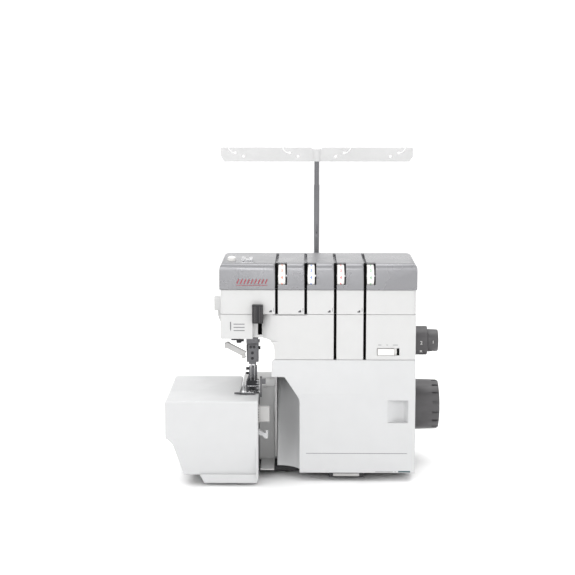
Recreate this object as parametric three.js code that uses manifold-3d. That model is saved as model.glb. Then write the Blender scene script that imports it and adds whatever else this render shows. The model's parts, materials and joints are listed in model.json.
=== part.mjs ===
// A four-thread serger (overlock sewing machine) with an extended telescopic thread guide.
// Units are millimetres. +X is the handwheel side, -Y is the operator's side, +Z is up.
// The origin is on the floor, below the centre of the machine's outer box.
import * as THREE from "three";
import { mergeVertices } from "three/addons/utils/BufferGeometryUtils.js";
import Module from "manifold-3d";

const wasm = await Module();
wasm.setup();

// ---------------------------------------------------------------- driving dimensions

const WALL = 2.6; // moulded casing wall
const GAP = 0.4; // joint line between two casings
const RISE = 1.047; // every height in this file is drawn short, and is multiplied by this
const HALF_WIDTH = 170.5; // the machine is 341 mm wide
const FLOOR_GAP = 10; // underside of the casings

const body = { left: -105, right: 132.8, front: -115, split: -75, back: 35, throat: -39.5 };
const seam = { armFloor: 168.5, cover: 144, panels: 197.5, top: 226.4, roof: 257 };
const bed = { top: 102, left: -81, right: -58.8, front: -109.5, back: 17 };
const cloth = { left: -HALF_WIDTH, right: -58.5, front: -150, back: -7, crease: 58, foot: 12.8 };
const clothHinge = { x: -140, y: -15, r: 3 };
const coverHinge = { y: -109, z: 15.5, r: 2 };
const coverLugs = [18, 80]; // each 6 mm wide along X
const rim = { x: -8.5, shoulderZ: 97, tabX: -27, tabZ: 128, left: -43 };

const slots = [-36.7, -1.2, 34.6, 70.6]; // centres of the four thread slots
const SLOT_HALF = 1.7;
const SLOT_DEPTH = 10;
const dial = { y: -103, z: 241, r: 14.2, from: 2.2, to: 10.9, window: 12.6 };

const shaft = { y: -20, z: 70, r: 6 }; // main shaft, which carries the handwheel
const sideDial = { y: -55, z: 156.4 }; // stitch length and differential feed, coaxial
const needle = { x: -66.5, y: -95 };
const presser = { x: -66.5, y: -79 };
const pole = { x: 13.1, y: 100, joint: 330.6, top: 368 };
const lifter = { y: -66, z: 191.5 }; // pivot of the presser foot lever
const stand = { front: 36, back: 150, low: 14, high: 20 };
const tongues = [-10, 60]; // where the spool stand hooks in under the casing, along X
const spoolOffsets = [-109.5, -36.5, 36.5, 109.5]; // from the pole, along X

// ---------------------------------------------------------------- materials

const material = (colour, roughness, metalness = 0) =>
  new THREE.MeshStandardMaterial({ color: colour, roughness, metalness });
const paint = {
  white: material(0xe9e9e8, 0.42),
  silver: material(0xa6a7aa, 0.36, 0.55),
  dark: material(0x2b2b2d, 0.5),
  knob: material(0x5f5c60, 0.45),
  dialWhite: material(0xf2f0ec, 0.4),
  guide: material(0xdededd, 0.4),
  steel: material(0xb8babd, 0.28, 1),
  gunmetal: material(0x6a6b6e, 0.35, 0.9),
  casting: material(0x8e9296, 0.6, 0.7),
  rubber: material(0x1d1d1e, 0.85),
  greyPlastic: material(0xb4b2b0, 0.5),
};

// ---------------------------------------------------------------- solid helpers

// Turns a closed three.js geometry into a manifold-3d solid.
function solid(geometry) {
  const plain = geometry.clone();
  plain.deleteAttribute("normal");
  plain.deleteAttribute("uv");
  const merged = mergeVertices(plain, 1e-4);
  return new wasm.Manifold(
    new wasm.Mesh({
      numProp: 3,
      vertProperties: new Float32Array(merged.attributes.position.array),
      triVerts: new Uint32Array(merged.index.array),
    }),
  );
}

// The real height of a drawn one.
const up = (z) => z * RISE;

function box(x0, x1, y0, y1, z0, z1) {
  const geometry = new THREE.BoxGeometry(x1 - x0, y1 - y0, up(z1 - z0));
  return solid(geometry.translate((x0 + x1) / 2, (y0 + y1) / 2, up((z0 + z1) / 2)));
}

// The two drawing axes and the extrusion axis of each view.
const X = new THREE.Vector3(1, 0, 0);
const Y = new THREE.Vector3(0, 1, 0);
const Z = new THREE.Vector3(0, 0, 1);
const views = {
  plan: new THREE.Matrix4().makeBasis(X, Y, Z), // drawn in x, y and extruded up
  side: new THREE.Matrix4().makeBasis(Y, Z, X), // drawn in y, z and extruded to +X
  front: new THREE.Matrix4().makeBasis(X, Z, Y.clone().negate()), // drawn in x, z and extruded to -Y
};

// A closed outline from [u, v, cornerRadius] points.
function outline(points) {
  const shape = new THREE.Shape();
  const at = (i) => new THREE.Vector2(...points[(i + points.length) % points.length]);
  points.forEach(([u, v, r = 0], i) => {
    const corner = new THREE.Vector2(u, v);
    const into = corner.clone().add(at(i - 1).sub(corner).setLength(r));
    const out = corner.clone().add(at(i + 1).sub(corner).setLength(r));
    if (i === 0) shape.moveTo(into.x, into.y);
    else shape.lineTo(into.x, into.y);
    if (r > 0) shape.quadraticCurveTo(u, v, out.x, out.y);
  });
  shape.closePath();
  return shape;
}

// Extrudes an outline between two places on the view's third axis.
function prism(view, points, from, to) {
  const flat = view === "plan";
  const drawn = flat ? points : points.map(([u, v, r]) => [u, up(v), r]);
  const [first, last] = flat ? [up(from), up(to)] : [from, to];
  const geometry = new THREE.ExtrudeGeometry(outline(drawn), {
    depth: last - first,
    curveSegments: 5,
    bevelEnabled: false,
  });
  const start = view === "front" ? -last : first;
  return solid(geometry.translate(0, 0, start).applyMatrix4(views[view]));
}

// A cylinder along an axis; a and b are the other two coordinates in X, Y, Z order.
function rod(axis, r, from, to, a, b, segments = 28, endRadius = r) {
  const length = axis === "z" ? up(to - from) : to - from;
  const geometry = new THREE.CylinderGeometry(endRadius, r, length, segments);
  const middle = (from + to) / 2;
  if (axis === "x") geometry.rotateZ(-Math.PI / 2).translate(middle, a, up(b));
  if (axis === "y") geometry.translate(a, middle, up(b));
  if (axis === "z") geometry.rotateX(Math.PI / 2).translate(a, b, up(middle));
  return solid(geometry);
}

// A turned piece along X from [radius, x] points that start and end on the axis.
function turned(points, y, z, segments = 40) {
  const profile = points.map(([r, x]) => new THREE.Vector2(r, x));
  const geometry = new THREE.LatheGeometry(profile, segments);
  return solid(geometry.rotateZ(-Math.PI / 2).translate(0, y, up(z)));
}

// A turned piece along Z from [radius, z] points that start and end on the axis.
function turnedUp(points, x, y, segments = 28) {
  const profile = points.map(([r, z]) => new THREE.Vector2(r, up(z)));
  const geometry = new THREE.LatheGeometry(profile, segments);
  return solid(geometry.rotateX(Math.PI / 2).translate(x, y, 0));
}

// A round tube or wire along a smooth curve through points.
function wire(points, r, sides = 8, steps = 24) {
  const circle = new THREE.Shape().absarc(0, 0, r, 0, 2 * Math.PI);
  const path = new THREE.CatmullRomCurve3(points.map(([x, y, z]) => new THREE.Vector3(x, y, up(z))));
  const options = { steps, extrudePath: path, curveSegments: sides };
  return solid(new THREE.ExtrudeGeometry(circle, options));
}

// A curved panel of even thickness over a grid: place(u, v) gives its outer face.
function curvedPanel(place, uSteps, vSteps, thickness) {
  const positions = [];
  const step = 1e-3;
  for (const side of [0, 1]) {
    for (let i = 0; i <= uSteps; i++) {
      for (let j = 0; j <= vSteps; j++) {
        const u = i / uSteps;
        const v = j / vSteps;
        const here = place(u, v);
        const du = place(u + step, v).sub(place(u - step, v));
        const dv = place(u, v + step).sub(place(u, v - step));
        const normal = du.cross(dv).normalize();
        here.addScaledVector(normal, side * thickness);
        positions.push(here.x, here.y, here.z);
      }
    }
  }
  const row = vSteps + 1;
  const layer = (uSteps + 1) * row;
  const triangles = [];
  const quad = (a, b, c, d) => triangles.push(a, b, c, a, c, d);
  for (let i = 0; i < uSteps; i++) {
    for (let j = 0; j < vSteps; j++) {
      const a = i * row + j;
      quad(a, a + 1, a + row + 1, a + row);
      quad(layer + a, layer + a + row, layer + a + row + 1, layer + a + 1);
    }
  }
  for (let i = 0; i < uSteps; i++) {
    const low = i * row;
    const high = low + vSteps;
    quad(low, low + row, layer + low + row, layer + low);
    quad(high, layer + high, layer + high + row, high + row);
  }
  for (let j = 0; j < vSteps; j++) {
    const first = j;
    const last = uSteps * row + j;
    quad(first, layer + first, layer + first + 1, first + 1);
    quad(last, last + 1, layer + last + 1, layer + last);
  }
  const geometry = new THREE.BufferGeometry();
  geometry.setAttribute("position", new THREE.Float32BufferAttribute(positions, 3));
  geometry.setIndex(triangles);
  return solid(geometry);
}

const machine = new THREE.Group();

// Adds a solid to the machine as a named mesh.
function add(name, made, finish, group = machine) {
  const { vertProperties, triVerts, numProp, numVert } = made.getMesh();
  const positions = new Float32Array(numVert * 3);
  for (let i = 0; i < numVert; i++) {
    positions.set(vertProperties.subarray(i * numProp, i * numProp + 3), i * 3);
  }
  const geometry = new THREE.BufferGeometry();
  geometry.setAttribute("position", new THREE.BufferAttribute(positions, 3));
  geometry.setIndex(new THREE.BufferAttribute(triVerts, 1));
  geometry.computeVertexNormals();
  const mesh = new THREE.Mesh(geometry, finish);
  mesh.name = name;
  group.add(mesh);
  return mesh;
}

// ---------------------------------------------------------------- casings

// A thread slot in the front wall: a closed channel, so that the wall stays in one piece.
function withSlot(panel, x, z0, z1, front = body.front) {
  const back = front + SLOT_DEPTH;
  const channel = box(x - SLOT_HALF - 2, x + SLOT_HALF + 2, front + 1, back + 2, z0, z1);
  const cut = box(x - SLOT_HALF, x + SLOT_HALF, front - 5, back, z0 - 1, z1 + 1);
  return panel.add(channel).subtract(cut);
}

function upperFrontPanel() {
  const corners = [
    [body.left, body.front, 5],
    [body.right, body.front, 5],
    [body.right, body.split - GAP],
    [body.left, body.split - GAP],
  ];
  const low = seam.panels + GAP / 2;
  const high = seam.top - GAP / 2;
  let panel = prism("plan", corners, low, high);
  const inside = box(
    body.left + WALL, body.right - WALL, body.front + WALL, body.split + 1, low - 1, high + 1,
  );
  panel = panel.subtract(inside);
  slots.forEach((x) => (panel = withSlot(panel, x, low, high)));
  return panel;
}

const switchSlot = { x0: 86, x1: 113, z0: 149.4, z1: 157.8 };
const recess = { left: -65.8, wall: -54, right: -36, back: -105 };
const headOpening = () => box(-78, -57, -103.5, -71, 162, 175);

function lowerFrontPanel() {
  const high = seam.panels - GAP / 2;
  const low = seam.cover + GAP / 2;
  const face = [
    [body.left, seam.armFloor, 3],
    [body.throat, seam.armFloor, 14],
    [body.throat, low],
    [body.right, low],
    [body.right, high],
    [body.left, high],
  ];
  let panel = prism("front", face, body.front, body.split - GAP);
  const deep = body.split + 1;
  panel = panel.subtract(
    box(body.left + WALL, body.right - WALL, body.front + WALL, deep, seam.armFloor + WALL, high + 1),
  );
  panel = panel.subtract(
    box(body.throat + WALL, body.right - WALL, body.front + WALL, deep, low - 1, high + 1),
  );
  // the hollow beside the head that the needle threader's lever runs in
  panel = panel.add(
    box(recess.left - WALL, recess.right, body.front + 1, recess.back + WALL, seam.armFloor, high),
  );
  const hollow = new THREE.Shape();
  hollow.moveTo(recess.left, body.front - 3);
  hollow.lineTo(recess.left, recess.back);
  hollow.lineTo(recess.wall, recess.back);
  hollow.quadraticCurveTo(recess.wall + 4, body.front + 3, recess.right + 2, body.front);
  hollow.lineTo(recess.right + 2, body.front - 3);
  hollow.closePath();
  const height = up(high - seam.armFloor + 8);
  const cut = new THREE.ExtrudeGeometry(hollow, { depth: height, curveSegments: 10, bevelEnabled: false });
  panel = panel.subtract(solid(cut.translate(0, 0, up(seam.armFloor - 3))));
  panel = panel.subtract(box(-59.6, -54.6, recess.back - 1, recess.back + 5, 171.8, 196));
  // the needle bar and the presser bar come out through the head's floor
  panel = panel.subtract(headOpening());
  panel = withSlot(panel, slots[2], low, high);
  panel = withSlot(panel, slots[3], low, high);
  // a wider joint line, which guides the two left threads across
  panel = panel.subtract(box(-53, slots[1] + SLOT_HALF, body.front - 1, body.front + 2, 196.3, 198));
  return panel.subtract(
    box(switchSlot.x0, switchSlot.x1, body.front - 2, body.front + 5, switchSlot.z0, switchSlot.z1),
  );
}

function rearCasing() {
  const high = seam.top - GAP / 2;
  const lip = -14.6;
  const face = (inset) => [
    [body.left + inset, seam.armFloor + inset, 3],
    [body.throat + inset, seam.armFloor + inset, 14],
    [body.throat + inset, FLOOR_GAP - inset],
    [body.right - inset, FLOOR_GAP - inset],
    [body.right - inset, seam.roof - 1 - inset, 9],
    [body.left + inset, seam.roof - 1 - inset, 9],
  ];
  const side = [
    [body.split, FLOOR_GAP - 1],
    [body.back, FLOOR_GAP - 1],
    [body.back, 243, 10],
    [10, seam.roof - 3, 10],
    [lip, seam.roof - 2],
    [lip, high],
    [body.split, high],
  ];
  const sideInside = [
    [body.split - 1, FLOOR_GAP - 2],
    [body.back - WALL, FLOOR_GAP - 2],
    [body.back - WALL, 241, 8],
    [9, seam.roof - 3 - WALL, 8],
    [lip + WALL, seam.roof - 2 - WALL],
    [lip + WALL, high + 1],
    [body.split - 1, high + 1],
  ];
  const outside = prism("front", face(0), body.split, body.back).intersect(
    prism("side", side, body.left - 1, body.right + 1),
  );
  const inside = prism("front", face(WALL), body.split - 1, body.back).intersect(
    prism("side", sideInside, body.left, body.right),
  );
  let casing = outside.subtract(inside);
  // the lower side walls reach forward to the looper cover
  casing = casing.add(
    box(body.right - WALL, body.right, -102.6, body.split + 1, 27, seam.cover - GAP / 2),
  );
  casing = casing.add(box(body.right - WALL, body.right, -99.6, body.split + 1, FLOOR_GAP, 28));
  casing = casing.add(
    box(body.throat, body.throat + WALL, -111.5, body.split + 1, rim.tabZ + 1, seam.cover - GAP / 2),
  );
  // room for the shafts, the two coaxial dials, the switch and the inlet
  casing = casing.subtract(rod("x", shaft.r + 1.2, 120, 140, shaft.y, shaft.z));
  casing = casing.subtract(rod("x", 9.8, 120, 140, sideDial.y, sideDial.z));
  casing = casing.subtract(box(-45, -35, -76, 29, 9, 17));
  casing = casing.subtract(box(125, 140, 15, 28, 61, 82));
  casing = casing.subtract(box(125, 140, 12, 31, 29.6, 52.4));
  casing = casing.subtract(rod("x", 3.6, -112, -98, lifter.y, lifter.z, 20));
  // the hole that lets the air tube through to the loopers
  casing = casing.subtract(rod("x", 5.4, -42, -34, -20.4, 51.8, 20));
  // louvres of the motor's air outlet in the back wall
  for (let i = 0; i < 6; i++) {
    casing = casing.subtract(box(50, 110, body.back - 5, body.back + 1, 130 + i * 8, 133 + i * 8));
  }
  tongues.forEach((x) => {
    casing = casing.subtract(box(x - 8.4, x + 8.4, 28, 37, 9, stand.high + GAP));
  });
  return casing.subtract(headOpening());
}

function topCoverSolid(inset) {
  const side = [
    [body.front - 1 + inset, seam.top + GAP / 2 - inset * 2],
    [-15 + inset, seam.top + GAP / 2 - inset * 2],
    [-15 + inset, seam.roof - inset],
    [body.front + 1 + inset, seam.roof - inset, 8],
  ];
  const front = [
    [body.left - 1 + inset, seam.top - 9],
    [body.right + 1 - inset, seam.top - 9],
    [body.right + 1 - inset, seam.roof - inset, 8],
    [body.left - 1 + inset, seam.roof - inset, 8],
  ];
  const across = prism("side", side, body.left - 2, body.right + 2);
  return across.intersect(prism("front", front, body.front - 5, 0));
}

function topCover() {
  let cover = topCoverSolid(0).subtract(topCoverSolid(WALL));
  const low = seam.top + GAP / 2;
  slots.forEach((x) => {
    cover = cover.add(
      box(x - 3.7, x + 3.7, body.front + 0.5, body.front + SLOT_DEPTH + 2, low, seam.roof - 3),
    );
    cover = cover.add(box(x - 3.7, x + 3.7, body.front + 3, -17, seam.roof - 7, seam.roof - 1));
    cover = cover.subtract(
      box(x - SLOT_HALF, x + SLOT_HALF, body.front - 5, body.front + SLOT_DEPTH, low - 1, seam.roof + 1),
    );
    cover = cover.subtract(
      box(x - SLOT_HALF, x + SLOT_HALF, body.front, -21, seam.roof - 5, seam.roof + 1),
    );
    const left = x + SLOT_HALF;
    const right = x + dial.window;
    cover = cover.subtract(box(left, right, body.front - 5, body.front + 12, 232.5, seam.roof + 1));
    cover = cover.subtract(rod("x", dial.r + 0.8, left, right, dial.y, dial.z, 40));
  });
  cover = cover.subtract(rod("x", 2.5, -60, 100, dial.y, dial.z, 16));
  // the well of the pressure dial
  return cover.subtract(rod("z", 5.6, seam.roof - 8, seam.roof + 2, -92, -88, 28));
}

function looperCover() {
  const side = (inset) => [
    [body.front + inset, seam.cover - GAP / 2 + inset * 3],
    [-122 + inset, 105 - inset / 4],
    [-122 + inset, FLOOR_GAP + inset],
    [-103 + inset * 4, FLOOR_GAP + inset],
    [-103 + inset * 4, seam.cover - GAP / 2 + inset * 3],
  ];
  const face = [
    [rim.left, seam.cover, 6],
    [rim.left, 124, 1.5],
    [rim.tabX, 124, 1.5],
    [rim.x - 2, 101, 4],
    [rim.x, rim.shoulderZ, 4],
    [rim.x, FLOOR_GAP - 2],
    [body.right, FLOOR_GAP - 2],
    [body.right, seam.cover],
  ];
  let cover = prism("side", side(0), rim.left - 2, body.right);
  cover = cover.subtract(prism("side", side(WALL), rim.left - 5, body.right - WALL));
  cover = cover.intersect(prism("front", face, -130, -60));
  // the thumb grip: a pocket with a slope on its left and a wall on its right
  cover = cover.add(box(95.5, 127, -121, -109.5, 66.5, 100));
  const grip = [
    [98, -122.5],
    [112, -113],
    [120, -112.5, 2],
    [124.4, -122.5],
  ];
  cover = cover.subtract(prism("plan", grip, 70.2, 97));
  // two knuckles on the hinge rod, and notches that clear the base plate's two lugs as the cover slides
  [2, 90].forEach((x) => {
    cover = cover.add(box(x, x + 7, -120.5, -105, 11, 19.5));
  });
  coverLugs.forEach((x) => {
    cover = cover.subtract(box(x - 8.5, x + 6.5, -119.4, -99, 9, 14));
  });
  return cover.subtract(rod("x", coverHinge.r + 0.4, -10, 125, coverHinge.y, coverHinge.z, 20));
}

// The chute that the trimmed waste falls down: deep at the top left, and forward at its foot.
function wasteChute() {
  const place = (u, v) => {
    const turn = (u * Math.PI) / 2;
    const z = 13 + v * (102 + 10 * (1 - Math.sin(turn)));
    const depth = 22 + 58 * v * (1.3 - 0.3 * v);
    const aboveShoulder = Math.max(0, z - rim.shoulderZ);
    const x = rim.x + 1.2 - 28.9 * (1 - Math.cos(turn)) ** 0.8 - 0.66 * aboveShoulder * (1 - u);
    const y = -120.4 + 0.19 * Math.max(0, z - 105) + depth * Math.sin(turn);
    return new THREE.Vector3(x, y, up(z));
  };
  return curvedPanel(place, 12, 8, 2.2);
}

function clothPlateBlock(inset) {
  const face = [
    [cloth.left + inset, bed.top - inset, 3],
    [cloth.left + inset, cloth.crease, 2],
    [-163 + inset, 54, 8],
    [-149 + inset, cloth.foot - inset * 2],
    [cloth.right + inset * 2, cloth.foot - inset * 2],
    [cloth.right + inset * 2, bed.top - inset],
  ];
  const side = [
    [cloth.front + inset, bed.top - inset, 2.5],
    [cloth.front + inset, cloth.crease - inset / 5],
    [-142 + inset, cloth.foot - inset * 2],
    [cloth.back - inset, cloth.foot - inset * 2],
    [cloth.back - inset, bed.top - inset, 2],
  ];
  const across = prism("side", side, cloth.left - 1, cloth.right + 6);
  return across.intersect(prism("front", face, cloth.front - 1, cloth.back + 1));
}

function clothPlate() {
  let plate = clothPlateBlock(0).subtract(clothPlateBlock(2.8));
  // clear of the fixed bed, which the plate swings away from
  plate = plate.subtract(box(-82, -50, bed.front - 0.5, 5, 95, 110));
  plate = plate.subtract(box(-84, -50, -14, 5, 0, 110));
  // lip under the front, with one chamfered end
  const lip = [
    [-130, cloth.foot + 1],
    [-124, 3.5, 1],
    [-59.5, 3.5, 3],
    [-59.5, cloth.foot + 1],
  ];
  plate = plate.add(prism("front", lip, -144.5, -138));
  plate = plate.add(box(-128, -60, -141, -100, cloth.foot - 1.2, cloth.foot + 1));
  // right-hand edge flange with the lower latch hook
  plate = plate.add(box(-61, cloth.right, -148.5, -120, 8, 99.5));
  const hook = [
    [-59, 64],
    [-56, 62],
    [-50, 59],
    [-50, 63],
    [-47, 63],
    [-47, 53],
    [-51, 53],
    [-55, 57],
    [-59, 57],
  ];
  plate = plate.add(prism("front", hook, -129, -125));
  // two knuckles round the hinge pin
  [
    [22, 32],
    [80, 90],
  ].forEach(([z0, z1]) => {
    plate = plate.add(box(-147, -133.5, -21.5, -9, z0, z1));
  });
  plate = plate.subtract(rod("z", clothHinge.r + 0.4, 0, 97, clothHinge.x, clothHinge.y, 20));
  return plate.subtract(box(-62, -57, -140.5, -128.5, 73.5, 94.5));
}

add("upper_front_panel", upperFrontPanel(), paint.white);
add("lower_front_panel", lowerFrontPanel(), paint.white);
add("rear_casing", rearCasing(), paint.white);
add("top_cover", topCover(), paint.silver);
add("looper_cover", looperCover().add(wasteChute()), paint.white);
add("cloth_plate", clothPlate(), paint.white);

add(
  "cloth_plate_release",
  box(-57.8, -45, -136.5, -132.5, 75, 93).add(box(-64, -57, -139.8, -129.2, 74.2, 93.8)),
  paint.greyPlastic,
);

// ---------------------------------------------------------------- base, frame and bed

function basePlate() {
  const plan = [
    [-150, -30, 6],
    [-86, -92, 6],
    [body.right - 4, -92, 8],
    [body.right - 4, 31, 8],
    [-150, 31, 8],
  ];
  return prism("plan", plan, 4.5, 9.4);
}

function coverLug(x) {
  const arm = box(x, x + 6, -109, -90, 9, 15.5).add(rod("x", 4, x, x + 6, coverHinge.y, coverHinge.z, 20));
  return arm.subtract(rod("x", coverHinge.r + 0.4, x - 1, x + 7, coverHinge.y, coverHinge.z, 20));
}
const frontBaseRail = box(-40, 118, -91.9, -88, 4.5, 9.4);
const clothHingePin = rod("z", clothHinge.r, 9, 94, clothHinge.x, clothHinge.y, 16);
const lugs = coverLug(coverLugs[0]).add(coverLug(coverLugs[1]));
add("base_plate", basePlate().add(frontBaseRail).add(lugs).add(clothHingePin), paint.dark);
add(
  "cover_hinge_rod",
  rod("x", coverHinge.r, 0, 102, coverHinge.y, coverHinge.z, 16),
  paint.steel,
);
function foot(name, x, y, r) {
  const profile = [
    [0, 0],
    [r - 1, 0],
    [r, 1],
    [r - 1.5, 4.2],
    [0, 4.2],
  ];
  add(name, turnedUp(profile, x, y, 20), paint.rubber);
}
foot("front_left_foot", -72, -72, 11);
foot("front_right_foot", 112, -78, 11);
foot("rear_left_foot", -132, 16, 10);
foot("rear_right_foot", 112, 18, 11);

const lowerPivot = [-76, 60];
const upperPivot = [-66, 44];

// A casting: a floor, two bearing walls and the arm beam that guides the two bars in the head.
function mainFrame() {
  let frame = box(-78, 122, -60, 28, 10.2, 16);
  frame = frame.add(box(2, 10, -52, 26, 15, 214));
  frame = frame.add(box(114, 122, -52, 26, 15, 214));
  frame = frame.add(box(-82, 122, -52, -40, 204, 214));
  frame = frame.add(box(-76, -61, -100.5, -45, 205, 213));
  frame = frame.add(box(-76, -61, -100.5, -45, 174, 182));
  frame = frame.add(box(-76, -60, -52, -45, 172, 210));
  // the bed support under the needle plate
  frame = frame.add(box(-78, -60, -56, 12, 15, 98.2));
  const boss = (x0, x1) => rod("x", 13, x0, x1, shaft.y, shaft.z, 28);
  frame = frame.add(boss(-2, 12)).add(boss(112, 124));
  frame = frame.subtract(rod("x", shaft.r + 0.35, -90, 126, shaft.y, shaft.z, 28));
  frame = frame.subtract(rod("z", 3.7, 160, 220, needle.x, needle.y, 20));
  frame = frame.subtract(rod("z", 4.1, 160, 220, presser.x, presser.y, 20));
  // the looper bracket and its two pivots
  frame = frame.add(box(-80, -60, -62, -55, 15, 92));
  frame = frame.add(rod("y", 3, -102, -58, lowerPivot[0], lowerPivot[1], 16));
  frame = frame.add(rod("y", 3, -92, -58, upperPivot[0], upperPivot[1], 16));
  // windows that lighten the walls
  frame = frame.subtract(box(-5, 128, -40, 12, 100, 130));
  frame = frame.subtract(box(-80, 15, -40, 5, 24, 44));
  frame = frame.subtract(box(-5, 128, -34, 12, 140, 190));
  // clearance round the side dials and the inlet
  frame = frame.subtract(rod("x", 11, 100, 130, sideDial.y, sideDial.z));
  return frame.subtract(box(113, 124, 11, 27, 29, 53));
}
add("main_frame", mainFrame(), paint.casting);

function bedPlate() {
  const plan = [
    [bed.left, bed.front],
    [bed.right, bed.front],
    [bed.right, -18.5],
    [body.throat - GAP, -18.5],
    [body.throat - GAP, bed.back],
    [bed.left, bed.back, 4],
  ];
  const plate = prism("plan", plan, 98.5, bed.top);
  // the apron and the tray that close the left side and the bottom of the waste chute
  const apron = box(-59.6, -39.9, -63.4, -61, 10.2, 101.5).add(box(-59.6, -39.9, -63.4, -18, 99, 101.5));
  const tray = box(-57, -39.9, -112, -62, 10.2, 11.8);
  return plate
    .add(apron)
    .add(tray)
    .subtract(box(-80.7, -50, -109.2, -61.7, 99.6, 103))
    .subtract(box(-77, -60.5, -108.3, -66, 90, 101));
}
add("bed_plate", bedPlate(), paint.white);

function needlePlate() {
  let plate = box(-80.4, bed.right, -108.9, -62, 99.9, bed.top - 0.05);
  [-74.6, -70.3, -66].forEach((x) => {
    plate = plate.subtract(box(x, x + 2.2, -107.9, -98.2, 99, 103));
    plate = plate.subtract(box(x, x + 2.2, -91.6, -68, 99, 103));
  });
  plate = plate.subtract(box(-71, -62, -96.8, -93.2, 99, 103));
  return plate.subtract(box(-61.5, -57, -110, -97.5, 99, 103));
}
add("needle_plate", needlePlate(), paint.steel);

// A feed dog: a bar with rows of teeth that look up through the needle plate's slots.
function feedDog(y0, y1) {
  let dog = box(-75.5, -62.5, y0, y1, 95.5, 98.8);
  [-74.3, -70, -65.7].forEach((x) => {
    for (let y = y0 + 0.6; y + 2 < y1; y += 2.2) {
      const tooth = [
        [y - 0.3, 98.5],
        [y + 2, 98.5],
        [y + 2, 101.4],
        [y + 1.5, 101.7],
        [y - 0.3, 100.4],
      ];
      dog = dog.add(prism("side", tooth, x, x + 1.6));
    }
  });
  return dog;
}
add("differential_feed_dog", feedDog(-106.6, -99.4), paint.steel);
add("main_feed_dog", feedDog(-90, -71), paint.steel);

// ---------------------------------------------------------------- drive

const pulley = { x0: 92, x1: 102, small: 9, large: 27, motorY: -20, motorZ: 163 };

function flangedPulley(x0, x1, r, y, z) {
  return turned(
    [
      [0, x0],
      [r + 2, x0],
      [r + 2, x0 + 1],
      [r, x0 + 1.5],
      [r, x1 - 1.5],
      [r + 2, x1 - 1],
      [r + 2, x1],
      [0, x1],
    ],
    y,
    z,
    24,
  );
}
const drivePulley = flangedPulley(pulley.x0, pulley.x1, pulley.large, shaft.y, shaft.z);
const motorShaft = rod("x", 3, 88.5, pulley.x0 + 1, pulley.motorY, pulley.motorZ, 20);
add("main_shaft", rod("x", shaft.r, -30, 146, shaft.y, shaft.z).add(drivePulley), paint.steel);
add(
  "motor_pulley",
  flangedPulley(pulley.x0, pulley.x1, pulley.small, pulley.motorY, pulley.motorZ).add(motorShaft),
  paint.steel,
);

// The toothed belt runs round both pulleys on their outer tangents.
function driveBelt() {
  const span = up(pulley.motorZ - shaft.z);
  const loop = (extra) => {
    const big = pulley.large + extra;
    const small = pulley.small + extra;
    const lean = Math.asin((big - small) / span);
    const shape = new THREE.Shape();
    shape.absarc(shaft.y, up(shaft.z), big, Math.PI - lean, 2 * Math.PI + lean, false);
    shape.absarc(pulley.motorY, up(pulley.motorZ), small, lean, Math.PI - lean, false);
    shape.closePath();
    return shape;
  };
  const ring = (shape, x0, x1) => {
    const options = { depth: x1 - x0, curveSegments: 12, bevelEnabled: false };
    const geometry = new THREE.ExtrudeGeometry(shape, options);
    return solid(geometry.translate(0, 0, x0).applyMatrix4(views.side));
  };
  return ring(loop(1.6), 94, 100).subtract(ring(loop(0.35), 90, 104));
}
add("drive_belt", driveBelt(), paint.rubber);

function motor() {
  const { motorY, motorZ } = pulley;
  let can = rod("x", 22, 24, 84, motorY, motorZ, 32);
  can = can.add(rod("x", 17, 20, 88, motorY, motorZ, 32));
  can = can.add(box(30, 78, motorY + 10, 32, 140, 152));
  return can.subtract(rod("x", 3.4, 80, 90, motorY, motorZ, 20));
}
add("motor", motor(), paint.gunmetal);

function handwheel() {
  const wheel = turned(
    [
      [0, 146.4],
      [9, 146.4],
      [9, 140],
      [12, 140],
      [12, 156],
      [28.7, 156],
      [28.7, 136.4],
      [32, 136.4],
      [32.6, 137.4],
      [31.8, 166],
      [30.2, 168.8],
      [23, 170],
      [0, HALF_WIDTH],
    ],
    shaft.y,
    shaft.z,
    48,
  );
  let cut = wheel;
  for (let i = 0; i < 16; i++) {
    const angle = ((i + 0.25) * 2 * Math.PI) / 16;
    const notch = new THREE.BoxGeometry(14, 5, 3)
      .translate(167, 32.4, 0)
      .rotateX(angle)
      .translate(0, shaft.y, up(shaft.z));
    cut = cut.subtract(solid(notch));
  }
  return cut;
}
add("handwheel", handwheel(), paint.knob);

// ---------------------------------------------------------------- stitch forming parts

const clampScrews = [
  [-2.1, 157],
  [2.1, 157],
  [0, 150],
  [0, 143.5],
];

function needleClamp() {
  const plan = [
    [needle.x - 7.1, needle.y - 9, 1.5],
    [needle.x + 7.5, needle.y - 9, 1.5],
    [needle.x + 7.5, needle.y + 3.4, 1.5],
    [needle.x - 7.1, needle.y + 3.4, 1.5],
  ];
  let clamp = prism("plan", plan, 139, 160);
  clamp = clamp.add(box(needle.x - 4.5, needle.x + 4.5, needle.y - 7, needle.y + 3, 136, 140));
  clampScrews.forEach(([dx, z]) => {
    clamp = clamp.add(rod("y", 1.5, needle.y - 10.2, needle.y - 8, needle.x + dx, z, 14));
  });
  return clamp;
}
add("needle_bar", rod("z", 3.2, 160.3, 221, needle.x, needle.y, 24), paint.steel);
add("needle_clamp", needleClamp(), paint.gunmetal);

function needleSolid(x) {
  const profile = [
    [0, 112.5],
    [0.45, 115.5],
    [0.45, 130],
    [0.9, 131.5],
    [0.9, 135.7],
    [0, 135.7],
  ];
  return turnedUp(profile, x, needle.y, 12);
}
add("left_needle", needleSolid(needle.x - 2.3), paint.steel);
add("right_needle", needleSolid(needle.x + 2.3), paint.steel);

add("presser_bar", rod("z", 3.6, 130, 221, presser.x, presser.y, 24), paint.steel);

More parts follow.
